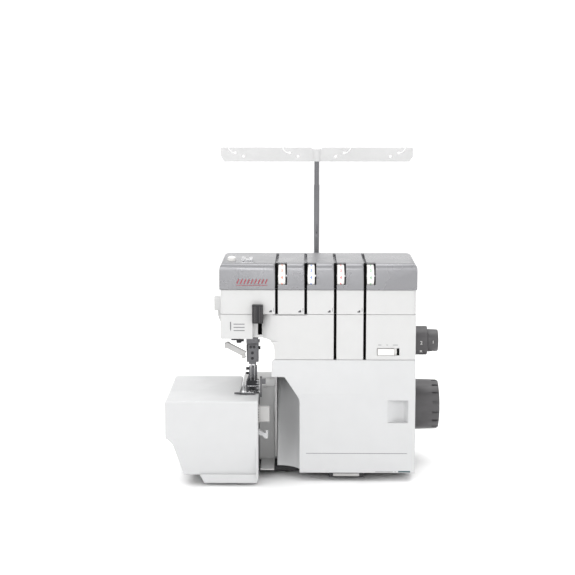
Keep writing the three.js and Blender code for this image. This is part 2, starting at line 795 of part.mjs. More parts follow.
function presserFoot() {
  const sole = [
    [-88.5, -113.6],
    [-79, -115.5, 2],
    [-60.2, -115.5, 2],
    [-59.6, -76],
    [-80, -76, 2],
    [-80, -110, 2],
  ];
  let foot = prism("plan", sole, 102.5, 104.6);
  foot = foot.subtract(box(-71.2, -61.8, -99, -91.4, 100, 106));
  foot = foot.subtract(box(-63.4, -58, -117, -97, 100, 106));
  // ankle and its cheeks, behind the needles
  foot = foot.add(box(-75, -60.2, -91, -79.5, 104, 113));
  foot = foot.add(
    prism(
      "front",
      [
        [-74.6, 112],
        [-60.6, 112],
        [-62.6, 119.5, 2],
        [-72.6, 119.5, 2],
      ],
      -90,
      -79.5,
    ),
  );
  foot = foot.add(box(-71.4, -61.6, -86, -75.5, 116, 129.7));
  foot = foot.subtract(box(-71.5, -68.6, -92, -78, 105.5, 110));
  return foot.subtract(box(-66.6, -63.6, -92, -78, 105.5, 110));
}
add("presser_foot", presserFoot(), paint.gunmetal);

function lifterLever() {
  const shape = [
    [-72, 188],
    [-60, 186],
    [-36, 176],
    [-22, 176, 3],
    [-22, 183, 3],
    [-34, 184],
    [-58, 197, 3],
    [-72, 197, 4],
  ];
  return prism("side", shape, -110.5, -106).add(rod("x", 3, -107, -98, lifter.y, lifter.z, 16));
}
add("presser_foot_lever", lifterLever(), paint.white);

function upperKnife() {
  const blade = [
    [-105, 97],
    [-93, 99.5],
    [-93, 117],
    [-96, 121, 3],
    [-104, 121, 3],
  ];
  return prism("side", blade, -57.3, -55.2).add(box(-56, -50.5, -101, -95, 112, 118));
}
add("upper_knife", upperKnife(), paint.gunmetal);
add(
  "lower_knife",
  box(-58.5, -57.6, -103.2, -93, 78, 101.9).add(box(-59.5, -57.6, -103, -94, 78, 96)),
  paint.steel,
);

// A looper: a flat arm on a boss, with a hooked point.
function looper(y0, y1, points, pivot) {
  const boss = rod("y", 5.5, y0, y1 + 6, pivot[0], pivot[1], 20);
  const bore = rod("y", 3.35, y0 + 1.6, y1 + 7, pivot[0], pivot[1], 20);
  return prism("front", points, y0, y1).add(boss).subtract(bore);
}
add(
  "lower_looper",
  looper(
    -106.6,
    -103.4,
    [
      [-79, 56],
      [-73, 56],
      [-72, 78],
      [-67, 84],
      [-61.5, 87.5],
      [-69, 88.5],
      [-76, 82],
    ],
    lowerPivot,
  ),
  paint.steel,
);
add(
  "upper_looper",
  looper(
    -95.5,
    -92.5,
    [
      [-69, 44],
      [-63, 44],
      [-62.5, 72],
      [-66, 84],
      [-75.5, 92],
      [-70.5, 82],
      [-68, 72],
    ],
    upperPivot,
  ),
  paint.steel,
);

// ---------------------------------------------------------------- head fittings

add(
  "threader_lever",
  prism(
    "plan",
    [
      [-66.2, -122.5, 2],
      [-53, -122.5, 2],
      [-53, -116, 0.5],
      [-66.2, -116, 0.5],
    ],
    188,
    209.5,
  )
    .add(box(-59, -55.2, -117, -93, 189.5, 195))
    .add(box(-59.2, -52.5, -95.4, -93, 188.6, 196)),
  paint.dark,
);
const threaderPivot = [-97, 159];
function threaderArm() {
  const arm = new THREE.BoxGeometry(25, 6, 6.5).translate(11.5, 0, 0).rotateY(0.48);
  const placed = arm.translate(threaderPivot[0], -103, up(threaderPivot[1]));
  return solid(placed).add(rod("y", 3.6, -106, -98, threaderPivot[0], threaderPivot[1], 18));
}
add("threader_arm", threaderArm(), paint.greyPlastic);
add(
  "head_floor_plate",
  box(-92, -79, -108, -98.5, 166.5, 168.2).add(rod("z", 3.2, 162, 167, -83, -103, 18)),
  paint.dark,
);
add(
  "thread_cutter",
  prism(
    "side",
    [
      [-98, 199, 2],
      [-84, 199, 2],
      [-84, 215, 3],
      [-98, 215, 3],
    ],
    -113.4,
    -105.3,
  ).subtract(box(-115, -108, -92, -90.8, 195, 211)),
  paint.white,
);

// ---------------------------------------------------------------- dials, switches and top fittings

slots.forEach((x, i) => {
  const width = dial.to - dial.from;
  let wheel = turned(
    [
      [0, 0],
      [dial.r - 0.8, 0],
      [dial.r, 0.8],
      [dial.r, width - 0.8],
      [dial.r - 0.8, width],
      [0, width],
    ],
    dial.y,
    dial.z,
    32,
  ).translate([x + dial.from, 0, 0]);
  wheel = wheel.subtract(rod("x", 2.4, x - 2, x + 16, dial.y, dial.z, 16));
  add(`tension_dial_${i + 1}`, wheel, paint.dialWhite);
});
add("tension_dial_axle", rod("x", 2, -58, 98, dial.y, dial.z, 16), paint.steel);

function ringDial() {
  const ring = turned(
    [
      [0, 124],
      [9, 124],
      [9, 133.4],
      [18.2, 133.4],
      [18.2, 150.2],
      [17.6, 151],
      [0, 151],
    ],
    sideDial.y,
    sideDial.z,
    36,
  );
  return ring.subtract(rod("x", 5.4, 120, 155, sideDial.y, sideDial.z));
}
function knobDial() {
  return turned(
    [
      [0, 121],
      [5, 121],
      [5, 151.4],
      [14, 151.4],
      [14.3, 153],
      [13.9, 163],
      [13, 164.6],
      [0, 166],
    ],
    sideDial.y,
    sideDial.z,
    36,
  );
}
add("stitch_length_dial", ringDial(), paint.knob);
add("differential_feed_dial", knobDial(), paint.knob);

add(
  "tension_switch",
  box(86.5, 106.5, -116.4, -111, 149.9, 157.3).add(box(83, 110, -112, -109.8, 147.5, 159.8)),
  paint.dialWhite,
);
add(
  "pressure_dial",
  turnedUp(
    [
      [0, 246],
      [2.5, 246],
      [2.5, 252],
      [5, 252],
      [5, 260.4],
      [4.2, 261.4],
      [0, 262.4],
    ],
    -92,
    -88,
    28,
  ),
  paint.dialWhite,
);
add(
  "top_thread_guide",
  prism(
    "front",
    [
      [-80, seam.roof + 0.3],
      [-66, seam.roof + 0.3],
      [-66, 261, 2],
      [-70, 261, 2],
      [-71.5, 259],
      [-74.5, 259],
      [-76, 261.5, 2],
      [-80, 261.5, 2],
    ],
    -95,
    -84,
  ),
  paint.steel,
);
add(
  "power_switch",
  box(128, 135.4, 16, 27, 62, 81).subtract(box(134.4, 136, 19, 24, 72, 79)),
  paint.dark,
);
add(
  "power_inlet",
  box(116, 134.4, 13, 30, 31, 51)
    .subtract(box(122, 136, 15.5, 27.5, 33.5, 48.5))
    .add(box(121, 131, 18, 19.6, 40, 42.4))
    .add(box(121, 131, 23.4, 25, 40, 42.4)),
  paint.dark,
);

// ---------------------------------------------------------------- air threading unit

function airUnit() {
  let unit = box(14, 74, -104, -62, 60, 92);
  unit = unit.add(rod("y", 4, -110, -103, 28, 80, 20));
  unit = unit.add(rod("y", 4, -110, -103, 44, 80, 20));
  unit = unit.add(
    wire(
      [
        [16, -70, 78],
        [-2, -57, 76],
        [-20, -36, 66],
        [-38, -20, 52],
        [-52, -24, 40],
        [-56, -48, 34],
      ],
      2,
      8,
      26,
    ),
  );
  unit = unit.subtract(rod("y", 1.6, -112, -98, 28, 80, 12));
  return unit.subtract(rod("y", 1.6, -112, -98, 44, 80, 12));
}
add("air_threading_unit", airUnit(), paint.greyPlastic);
add(
  "air_pump_lever",
  prism(
    "front",
    [
      [84, 99, 3],
      [92, 99, 3],
      [92, 108],
      [117, 108, 3],
      [117, 115, 3],
      [84, 115, 3],
    ],
    -108,
    -103,
  ).add(rod("y", 3, -104, -92, 88, 108, 16)),
  paint.knob,
);

// ---------------------------------------------------------------- spool stand and telescopic thread guide

function spoolStand() {
  const plan = [
    [pole.x - 132, 66, 16],
    [pole.x - 70, stand.front, 8],
    [pole.x + 70, stand.front, 8],
    [pole.x + 132, 66, 16],
    [pole.x + 132, stand.back, 22],
    [pole.x - 132, stand.back, 22],
  ];
  let base = prism("plan", plan, stand.low, stand.high);
  base = base.subtract(rod("z", 5.2, 0, 40, pole.x, pole.y, 28));
  spoolOffsets.forEach((offset) => {
    base = base.subtract(rod("z", 3.4, 0, 40, pole.x + offset, pole.y + 8, 20));
  });
  // two tongues go in under the rear casing and rest on the base plate
  tongues.forEach((x) => {
    base = base.add(box(x - 8, x + 8, 29, stand.front + 4, FLOOR_GAP, stand.high));
  });
  // two legs hold the outer edge up off the floor
  base = base.add(box(pole.x - 118, pole.x - 106, 120, 140, 0, stand.low + 1));
  return base.add(box(pole.x + 106, pole.x + 118, 120, 140, 0, stand.low + 1));
}
add("spool_stand", spoolStand(), paint.white);

spoolOffsets.forEach((offset, i) => {
  const profile = [
    [0, 14.5],
    [3, 14.5],
    [3, 20.4],
    [26, 20.4],
    [27, 21.4],
    [26, 22.6],
    [13, 23.4],
    [8, 46],
    [2.8, 48],
    [2.4, 73],
    [1.6, 74],
    [0, 74],
  ];
  add(`spool_holder_${i + 1}`, turnedUp(profile, pole.x + offset, pole.y + 8, 20), paint.guide);
});

function lowerPole() {
  const outside = rod("z", 4.8, stand.low + 0.5, 208, pole.x, pole.y, 28);
  return outside
    .add(rod("z", 9, stand.high + 0.4, 30, pole.x, pole.y, 28))
    .subtract(rod("z", 4.15, 24, 215, pole.x, pole.y, 28));
}
add("lower_pole", lowerPole(), paint.steel);
add(
  "upper_pole",
  rod("z", 3.75, 196, pole.joint, pole.x, pole.y, 28).add(
    rod("z", 3.3, pole.joint - 1, pole.top, pole.x, pole.y, 28),
  ),
  paint.steel,
);

// The guide bar: a moulded strip that leans back, bent forward round the pole at its middle.
function guideBar() {
  const half = 128.8;
  const strip = { low: 360.9, high: 378.4, thickness: 2.4 };
  const face = [
    [-half + 5, strip.low, 0],
    [half - 5, strip.low, 0],
    [half, strip.low + 7, 0],
    [half, strip.high, 1.5],
    [-half, strip.high, 1.5],
    [-half, strip.low + 7, 0],
  ];
  let bar = prism("front", face, 0, strip.thickness);
  bar = bar.subtract(box(-7, 7, -5, 8, strip.high - 2, strip.high + 2));
  [1, -1].forEach((side) => {
    [
      [109.6, 98.4],
      [36.5, 25.3],
    ].forEach(([slotX, holeX]) => {
      const z = strip.high - 6.5;
      bar = bar.subtract(rod("y", 1.9, -5, 8, side * slotX, z, 16));
      bar = bar.subtract(rod("y", 2, -5, 8, side * holeX, strip.low + 6.5, 16));
      const path = [
        [side * slotX, z],
        [side * (slotX + 4), z + 0.4],
        [side * (slotX + 8), z + 4],
        [side * (slotX + 10), z + 9],
      ];
      for (let k = 0; k < 3; k++) {
        const [x0, z0] = path[k];
        const [x1, z1] = path[k + 1];
        const rise = up(z1 - z0);
        const length = Math.hypot(x1 - x0, rise);
        const cut = new THREE.BoxGeometry(length + 1, 12, 1.5)
          .rotateY(-Math.atan2(rise, x1 - x0))
          .translate((x0 + x1) / 2, 0, up((z0 + z1) / 2));
        bar = bar.subtract(solid(cut));
      }
    });
  });
  bar = bar.add(rod("z", 6.2, strip.low, strip.high - 2, 0, 3.5, 28));
  bar = bar.subtract(rod("z", 3.7, strip.low - 2, strip.high - 6, 0, 3.5, 24));
  return bar.translate([pole.x, pole.y - 3.5, 0]);
}
add("thread_guide_bar", guideBar(), paint.guide);

export default machine;
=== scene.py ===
"""Looks of the serger overlock machine: materials, printed marks, small fittings, light and camera.
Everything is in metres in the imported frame: +X is the handwheel side, -Y the operator's side, +Z up."""

import json
import math

import bmesh
import bpy
from mathutils import Matrix, Vector


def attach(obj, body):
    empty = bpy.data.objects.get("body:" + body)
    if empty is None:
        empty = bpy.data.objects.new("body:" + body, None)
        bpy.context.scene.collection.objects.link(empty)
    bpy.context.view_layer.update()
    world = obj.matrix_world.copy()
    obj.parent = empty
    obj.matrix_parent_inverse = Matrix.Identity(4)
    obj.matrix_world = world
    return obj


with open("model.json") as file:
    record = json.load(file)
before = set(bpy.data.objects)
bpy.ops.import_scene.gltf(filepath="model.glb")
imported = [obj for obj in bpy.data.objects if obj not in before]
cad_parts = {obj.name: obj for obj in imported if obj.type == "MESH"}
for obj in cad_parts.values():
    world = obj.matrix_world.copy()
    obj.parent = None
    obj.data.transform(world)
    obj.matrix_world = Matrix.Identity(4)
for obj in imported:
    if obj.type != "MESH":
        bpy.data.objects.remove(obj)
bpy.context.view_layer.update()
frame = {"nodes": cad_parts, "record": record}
MM = 0.001

# ---------------------------------------------------------------- materials


def new_material(name):
    material = bpy.data.materials.new(name)
    material.use_nodes = True
    tree = material.node_tree
    return material, tree, tree.nodes["Principled BSDF"]


def noise(tree, scale, detail=3.0, stretch=(1, 1, 1)):
    """A noise texture in object space; stretch squeezes it along an axis, as brushing does."""
    coordinates = tree.nodes.new("ShaderNodeTexCoord")
    mapping = tree.nodes.new("ShaderNodeMapping")
    mapping.inputs["Scale"].default_value = stretch
    texture = tree.nodes.new("ShaderNodeTexNoise")
    texture.inputs["Scale"].default_value = scale
    texture.inputs["Detail"].default_value = detail
    tree.links.new(coordinates.outputs["Object"], mapping.inputs["Vector"])
    tree.links.new(mapping.outputs["Vector"], texture.inputs["Vector"])
    return texture.outputs["Fac"]


NOISE_MIDDLE = (0.3, 0.7)  # nearly all values of a noise texture lie between these


def spread(tree, value, low, high):
    """Maps the middle of a noise to the range low to high."""
    mapped = tree.nodes.new("ShaderNodeMapRange")
    mapped.inputs["From Min"].default_value = NOISE_MIDDLE[0]
    mapped.inputs["From Max"].default_value = NOISE_MIDDLE[1]
    mapped.inputs["To Min"].default_value = low
    mapped.inputs["To Max"].default_value = high
    tree.links.new(value, mapped.inputs["Value"])
    return mapped.outputs["Result"]


GLOSS_SCALE = 26  # scale of the noise that makes the gloss uneven
SMOOTHEST, ROUGHEST = 0.82, 1.2  # how far it takes the roughness, as factors
RELIEF_DEPTH = 0.0004


def surface(
    name,
    colour,
    roughness,
    metallic=0.0,
    grain=900,
    relief=0.04,
    mottle=0.04,
    edge=0.0007,
    specular=0.5,
    patch=60,
    brushing=(1, 1, 1),
):
    """A moulded, painted or metal surface: fine relief, uneven gloss, faint mottling and eased edges.

    grain and patch are the noise scales of the relief and the mottling, and edge is the easing's radius."""
    material, tree, shader = new_material(name)
    shader.inputs["Metallic"].default_value = metallic
    shader.inputs["Specular IOR Level"].default_value = specular
    gloss = spread(tree, noise(tree, GLOSS_SCALE), roughness * SMOOTHEST, roughness * ROUGHEST)
    tree.links.new(gloss, shader.inputs["Roughness"])
    tint = tree.nodes.new("ShaderNodeMix")
    tint.data_type = "RGBA"
    tint.inputs["A"].default_value = (*[c * (1 - mottle) for c in colour], 1)
    tint.inputs["B"].default_value = (*[min(1, c * (1 + mottle)) for c in colour], 1)
    shade = spread(tree, noise(tree, patch, 5, brushing), 0, 1)
    tree.links.new(shade, tint.inputs["Factor"])
    tree.links.new(tint.outputs["Result"], shader.inputs["Base Color"])
    relief_node = tree.nodes.new("ShaderNodeBump")
    relief_node.inputs["Strength"].default_value = relief
    relief_node.inputs["Distance"].default_value = RELIEF_DEPTH
    tree.links.new(noise(tree, grain, 2, brushing), relief_node.inputs["Height"])
    if edge:
        eased = tree.nodes.new("ShaderNodeBevel")
        eased.samples = 6
        eased.inputs["Radius"].default_value = edge
        tree.links.new(eased.outputs["Normal"], relief_node.inputs["Normal"])
    tree.links.new(relief_node.outputs["Normal"], shader.inputs["Normal"])
    return material


WHITE = (0.5, 0.5, 0.498)
looks = {
    "white_casing": surface("white_casing", WHITE, 0.34, grain=1400, relief=0.05, mottle=0.012, edge=0.0012),
    "lower_casing": surface(
        "lower_casing", (0.485, 0.488, 0.492), 0.36, grain=1400, relief=0.05, mottle=0.012, edge=0.0016
    ),
    "silver_cover": surface(
        "silver_cover", (0.23, 0.23, 0.24), 0.28, 0.5, grain=2600, relief=0.07, mottle=0.1, edge=0.0016,
        patch=2400,
    ),
    "dark_plastic": surface(
        "dark_plastic", (0.016, 0.016, 0.018), 0.38, grain=1500, relief=0.16, mottle=0.2, specular=0.3
    ),
    "knob_plastic": surface("knob_plastic", (0.06, 0.057, 0.06), 0.4, grain=1200, relief=0.12, mottle=0.1),
    "dial_plastic": surface("dial_plastic", (0.68, 0.67, 0.655), 0.32, grain=1300, relief=0.05, mottle=0.03),
    "guide_plastic": surface("guide_plastic", (0.51, 0.51, 0.51), 0.34, grain=1400, relief=0.05, mottle=0.03),
    "grey_plastic": surface("grey_plastic", (0.38, 0.376, 0.37), 0.42, grain=1500, relief=0.1, mottle=0.06),
    "bright_steel": surface(
        "bright_steel", (0.5, 0.5, 0.51), 0.15, 1.0, grain=900, relief=0.03, mottle=0.06, edge=0.0003,
        brushing=(1, 1, 0.12),
    ),
    "pole_chrome": surface(
        "pole_chrome", (0.2, 0.2, 0.21), 0.07, 1.0, grain=500, relief=0.01, mottle=0.08, edge=0
    ),
    "dark_steel": surface(
        "dark_steel", (0.11, 0.11, 0.115), 0.3, 0.95, grain=1100, relief=0.06, mottle=0.14, edge=0.0004,
        brushing=(0.2, 1, 1),
    ),
    "frame_casting": surface(
        "frame_casting", (0.3, 0.31, 0.32), 0.55, 0.7, grain=700, relief=0.35, mottle=0.12
    ),
    # painted shade: flat black for sheets lining slots whose real walls are white and only shaded
    "painted_shade_black": surface(
        "painted_shade_black", (0.004, 0.004, 0.004), 0.7, grain=1500, relief=0.1, mottle=0.3, edge=0, specular=0.15
    ),
    "rubber": surface("rubber", (0.014, 0.014, 0.015), 0.75, grain=1800, relief=0.3, mottle=0.25),
}


def ink(name, colour):
    """Printed marks: a thin satin film with slightly uneven cover."""
    return surface(name, colour, 0.5, grain=3000, relief=0.08, mottle=0.12, edge=0)


inks = {
    "grey": ink("grey_ink", (0.16, 0.16, 0.17)),
    "dark": ink("dark_ink", (0.03, 0.03, 0.035)),
    "red": ink("red_ink", (0.28, 0.03, 0.05)),
    "pale": ink("pale_ink", (0.7, 0.7, 0.68)),
    "teal": ink("teal_ink", (0.02, 0.06, 0.07)),
    "dial_1": ink("orange_ink", (0.75, 0.12, 0.03)),
    "dial_2": ink("blue_ink", (0.02, 0.12, 0.5)),
    "dial_3": ink("crimson_ink", (0.62, 0.02, 0.04)),
    "dial_4": ink("green_ink", (0.02, 0.3, 0.08)),
}

slots = {part["node"]: part["material_slot"] for part in frame["record"]["subparts"]}
SPECIAL_LOOKS = {
    "looper_cover": "lower_casing",
    "cloth_plate": "lower_casing",
    "upper_pole": "pole_chrome",
    "lower_pole": "pole_chrome",
}
SMOOTH_ANGLE = math.radians(32)
WELD_DISTANCE = 2e-6


def finish_node(node, object_):
    """Gives a CAD node its material, and smooth shading that stops at real edges."""
    object_.data.materials.clear()
    object_.data.materials.append(looks[SPECIAL_LOOKS.get(node, slots[node])])
    for polygon in object_.data.polygons:
        polygon.use_smooth = True
    weld = object_.modifiers.new("weld", "WELD")
    weld.merge_threshold = WELD_DISTANCE
    split = object_.modifiers.new("edges", "EDGE_SPLIT")
    split.split_angle = SMOOTH_ANGLE


for node, object_ in frame["nodes"].items():
    finish_node(node, object_)

# ---------------------------------------------------------------- building small pieces


def piece(name, mesh, material, body):
    """Adds a mesh object that moves with a CAD body."""
    object_ = bpy.data.objects.new(name, mesh)
    bpy.context.scene.collection.objects.link(object_)
    object_.data.materials.clear()
    object_.data.materials.append(material)
    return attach(object_, body)


def mesh_from(name, build):
    """A mesh made by build(bm), with lengths given in millimetres."""
    bm = bmesh.new()
    build(bm)
    bmesh.ops.scale(bm, vec=(MM, MM, MM), verts=bm.verts)
    bmesh.ops.recalc_face_normals(bm, faces=bm.faces)
    mesh = bpy.data.meshes.new(name)
    bm.to_mesh(mesh)
    bm.free()
    return mesh


def add_block(bm, low, high, turn=Matrix.Identity(4)):
    """Adds a box between two corners, turned about its own centre."""
    centre = (Vector(low) + Vector(high)) / 2
    size = Vector(high) - Vector(low)
    place = Matrix.Translation(centre) @ turn @ Matrix.Diagonal((*size, 1))
    bmesh.ops.create_cube(bm, size=1, matrix=place)


def add_rod(bm, start, end, radius, sides=20, end_radius=None):
    """Adds a rod, or a cone if end_radius is given, between two points."""
    start, end = Vector(start), Vector(end)
    along = end - start
    place = Matrix.Translation((start + end) / 2) @ along.to_track_quat("Z", "Y").to_matrix().to_4x4()
    bmesh.ops.create_cone(
        bm,
        cap_ends=True,
        segments=sides,
        radius1=radius,
        radius2=radius if end_radius is None else end_radius,
        depth=along.length,
        matrix=place,
    )


def blocks(name, corners, material, body):
    """One piece made of several small boxes given as (low, high) corners."""

    def build(bm):
        for low, high in corners:
            add_block(bm, low, high)

    return piece(name, mesh_from(name, build), material, body)


def mesh_of(shape):
    """The finished mesh of a curve or text object, which is then removed."""
    bpy.context.scene.collection.objects.link(shape)
    bpy.context.view_layer.update()
    mesh = bpy.data.meshes.new_from_object(shape.evaluated_get(bpy.context.evaluated_depsgraph_get()))
    bpy.data.objects.remove(shape)
    return mesh


def tube(name, points, radius, material, body):
    """A bent wire through points in millimetres."""
    curve = bpy.data.curves.new(name, "CURVE")
    curve.dimensions = "3D"
    curve.bevel_depth = radius * MM
    curve.bevel_resolution = 2
    curve.use_fill_caps = True
    spline = curve.splines.new("NURBS")
    spline.points.add(len(points) - 1)
    spline.order_u = 3
    spline.use_endpoint_u = True
    for point, place in zip(spline.points, points):
        point.co = (*[c * MM for c in place], 1)
    mesh = mesh_of(bpy.data.objects.new(name + ".curve", curve))
    mesh.name = name
    for polygon in mesh.polygons:
        polygon.use_smooth = True
    return piece(name, mesh, material, body)


NUMERAL_DEPTH = 0.04
NUMERAL_LIFT = 0.03


def numeral(text, size):
    """A flat numeral as a bmesh in millimetres, centred, in its own XY plane."""
    font = bpy.data.curves.new("numeral", "FONT")
    font.body = text
    font.size = size
    font.align_x = "CENTER"
    font.align_y = "CENTER"
    font.extrude = NUMERAL_DEPTH
    font.resolution_u = 3
    mesh = mesh_of(bpy.data.objects.new("numeral", font))
    bm = bmesh.new()
    bm.from_mesh(mesh)
    bpy.data.meshes.remove(mesh)
    return bm


# ---------------------------------------------------------------- numbered dials

SLOTS = (-36.7, -1.2, 34.6, 70.6)  # centres of the four thread slots, along X
SLOT_HALF = 1.7
WINDOW_OFFSET = 6.6  # from a thread slot to the middle of its dial's window
TENSION_AXIS = (-103, 252.3)  # Y and Z of the axle that the four tension dials turn on
TENSION_RADIUS = 14.2
SIDE_AXIS = (-55, 163.75)  # Y and Z of the two dials at the right side
LENGTH_RADIUS, LENGTH_X = 18.2, 143
FEED_RADIUS, FEED_X = 14.15, 158


def numbers_round_x(name, axis, radius, x, texts, step, size, material, body):
    """Numerals printed round a drum that turns about X, read from the operator's side.

    axis is the drum's Y and Z, and step is the angle between two numerals in degrees."""
    joined = bmesh.new()
    for index, text in enumerate(texts):
        bm = numeral(text, size)
        lift = Matrix.Translation((0, 0, radius + NUMERAL_LIFT))
        stand = Matrix.Rotation(math.radians(90), 4, "X")
        around = Matrix.Rotation(math.radians(index * step), 4, "X")
        bm.transform(Matrix.Translation((x, *axis)) @ around @ stand @ lift)
        mesh = bpy.data.meshes.new("part")
        bm.to_mesh(mesh)
        bm.free()
        joined.from_mesh(mesh)
        bpy.data.meshes.remove(mesh)
    bmesh.ops.scale(joined, vec=(MM, MM, MM), verts=joined.verts)
    mesh = bpy.data.meshes.new(name)
    joined.to_mesh(mesh)
    joined.free()
    return piece(name, mesh, material, body)


def dial_numbers():
    """The numbers on the four tension dials and on the two dials at the right side."""
    for number, slot_x in enumerate(SLOTS, start=1):
        body = f"tension_dial_{number}"
        window_x = slot_x + WINDOW_OFFSET
        ink_of_dial = inks[f"dial_{number}"]
        numbers_round_x(
            f"{body}_numbers", TENSION_AXIS, TENSION_RADIUS, window_x, "4567890123", 36, 5.6, ink_of_dial, body
        )
    numbers_round_x(
        "stitch_length_numbers", SIDE_AXIS, LENGTH_RADIUS, LENGTH_X, "2R1345", 40, 6, inks["pale"],
        "stitch_length_dial",
    )
    numbers_round_x(
        "differential_feed_numbers", SIDE_AXIS, FEED_RADIUS, FEED_X, "1234", 60, 5, inks["pale"],
        "differential_feed_dial",
    )


dial_numbers()

# ---------------------------------------------------------------- printed marks

FACE = -115.0  # Y of the front panels
BAND_FACE = FACE - 0.98  # Y of the silver band
COVER_FACE = -122.0  # Y of the looper cover
ROOF = 269.1  # Z of the top cover
FILM = 0.06
STITCH_DEPTH = 0.1


def face_mark(x0, x1, z0, z1, y=FACE):
    """The corners of a flat mark that stands a film's thickness off a face."""
    return (x0, y - FILM, z0), (x1, y, z1)


def roof_mark(x0, x1, y0, y1):
    """The corners of a flat mark on the top cover."""
    return (x0, y0, ROOF), (x1, y1, ROOF + FILM)


def needle_pictogram():
    """A needle outline beside three plain bars on the head."""
    bars = [face_mark(-89, -75.5, z, z + 1.1) for z in (194.2, 190.2, 186.2)]
    blocks("head_mark_bars", bars, inks["grey"], "frame")
    needle_x, radius = -92.6, 0.75

    def build(bm):
        top, shoulder, tip = [(needle_x, FACE - FILM, z) for z in (197.6, 189, 186)]
        add_rod(bm, top, shoulder, radius, 10)
        add_rod(bm, shoulder, tip, radius, 10, 0.1)
        bmesh.ops.scale(bm, vec=(1, 0.05, 1), verts=bm.verts, space=Matrix.Translation((0, -FACE, 0)))

    piece("head_mark_needle", mesh_from("head_mark_needle", build), inks["grey"], "frame")


def stitch_motif():
    """A row of slanted stitches over a straight line, on the silver band."""
    first_x, pitch, half_width, stitches = -83.5, 4.3, 0.65, 9
    front = BAND_FACE - STITCH_DEPTH

    def build(bm):
        lean = Matrix.Rotation(math.radians(24), 4, "Y")
        for index in range(stitches):
            x = first_x + index * pitch
            add_block(bm, (x - half_width, front, 244.4), (x + half_width, BAND_FACE, 250.4), lean)
        add_block(bm, (-85.5, front, 242.5), (-47.5, BAND_FACE, 243.1))

    piece("stitch_motif", mesh_from("stitch_motif", build), inks["red"], "frame")


def cover_marks():
    """A long line on the looper cover, and three short marks near its foot."""
    line = [face_mark(-0.6, 123.5, 34.7, 35.4, COVER_FACE)]
    blocks("cover_line", line, inks["grey"], "looper_cover")
    low = [face_mark(84.7, 106.2, 11.5, 12.2, COVER_FACE), face_mark(108.5, 109.7, 11.4, 12.4, COVER_FACE)]
    blocks("cover_low_marks", low, inks["grey"], "looper_cover")
    catch = [face_mark(112.8, 127.5, 11.2, 13, COVER_FACE)]
    blocks("cover_catch_mark", catch, inks["teal"], "looper_cover")


def small_marks():
    """Short bars above the tension switch, and two lines on the top cover."""
    switch_marks = [face_mark(x0, x1, 169.0, 169.7) for x0, x1 in ((87, 91), (97, 99), (105, 111))]
    blocks("tension_switch_marks", switch_marks, inks["grey"], "frame")
    top_lines = [roof_mark(-78, -62, -99, -98.3), roof_mark(-80, -62, -106, -105.3)]
    blocks("top_cover_marks", top_lines, inks["grey"], "frame")


SHADE_SHEET = 0.12  # thickness of the black sheets of painted shade inside a thread slot
SHADE_SHEET_FRONT, SHADE_SHEET_BACK = -114.9, -105.1
THREAD_PATHS = (  # panel, the slots in it, and the bottom and top of each slot
    ("top", SLOTS, 237.4, 268.6),
    ("upper", SLOTS, 207.1, 236.7),
    ("lower", SLOTS[2:], 151.1, 206.5),
)


def painted_slot_shade():
    """Black sheets of painted shade on the inner faces of the four thread slots, whose white walls are only
    shaded; the dials fill the right side of the top ones.
    """
    for place, centres, low, high in THREAD_PATHS:
        faces = []
        for x in centres:
            left, right = x - SLOT_HALF, x + SLOT_HALF
            if place != "top":
                faces.append(((right - SHADE_SHEET, SHADE_SHEET_FRONT, low), (right, SHADE_SHEET_BACK, high)))
            faces.append(((left, SHADE_SHEET_FRONT, low), (left + SHADE_SHEET, SHADE_SHEET_BACK, high)))
            faces.append(((left, SHADE_SHEET_BACK - 0.1, low), (right, SHADE_SHEET_BACK + 0.05, high)))
        blocks(f"slot_painted_shade_{place}", faces, looks["painted_shade_black"], "frame")


def thread_path_marks():
    """Small printed marks beside each thread slot."""
    marks = []
    for x in SLOTS:
        marks.append(face_mark(x - 9, x - 5.6, 209.4, 210.8))
        marks.append(face_mark(x - 7.6, x - 5.6, 210.8, 212))
        marks.append(face_mark(x - 3.6, x - 3.2, 210.4, 215))
    blocks("thread_path_marks", marks, inks["dark"], "frame")


needle_pictogram()
stitch_motif()
cover_marks()
small_marks()
painted_slot_shade()
thread_path_marks()

# ---------------------------------------------------------------- small fittings


SOLE = 109.4  # Z of the presser foot's underside
SPRING_X, SPRING_Y, SPRING_FOOT = -60.6, -101, 110.4
SPRING_RADIUS, SPRING_TURN, SPRING_CLIMB, SPRING_STEPS = 2.1, 0.9, 0.44, 30


def spring_point(step):
    """A point of the foot's coil spring; the turn is in radians."""
    x = SPRING_X + SPRING_RADIUS * math.cos(step * SPRING_TURN)
    y = SPRING_Y + SPRING_RADIUS * math.sin(step * SPRING_TURN)
    return x, y, SPRING_FOOT + step * SPRING_CLIMB


